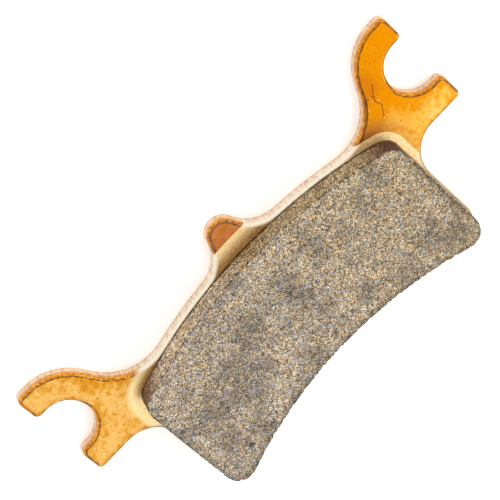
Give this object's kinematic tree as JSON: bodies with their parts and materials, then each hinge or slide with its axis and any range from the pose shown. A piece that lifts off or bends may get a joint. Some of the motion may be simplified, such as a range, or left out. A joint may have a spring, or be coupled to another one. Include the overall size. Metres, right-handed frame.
{
  "type": "disc brake pad",
  "caption": "Sintered disc brake pad: curved friction block bonded to a flat steel plate with open-fork ears and a small outer tab.",
  "frame": {"origin": "on the backing plate's rear (piston) face, halfway between the centres of the two pin forks", "axes": "+X along the pad towards the right-hand fork, +Y radially outward towards the centre tab, +Z from the rear face towards the rubbing face"},
  "size_m": [0.1016, 0.0454, 0.0087],
  "materials": {
    "plate_steel": "orange to pale gold heat-tinted coating over blanked steel, satin, with small spots and dark edges",
    "bond_metal": "dull dark copper alloy, seen only as a narrow groove",
    "sintered_friction": "dry, rough, dense grains of tan copper alloy, blue-grey iron and black graphite"
  },
  "bodies": {
    "root": {"backing_plate": "plate_steel", "bond_layer": "bond_metal", "friction_block": "sintered_friction"}
  },
  "joints": []
}
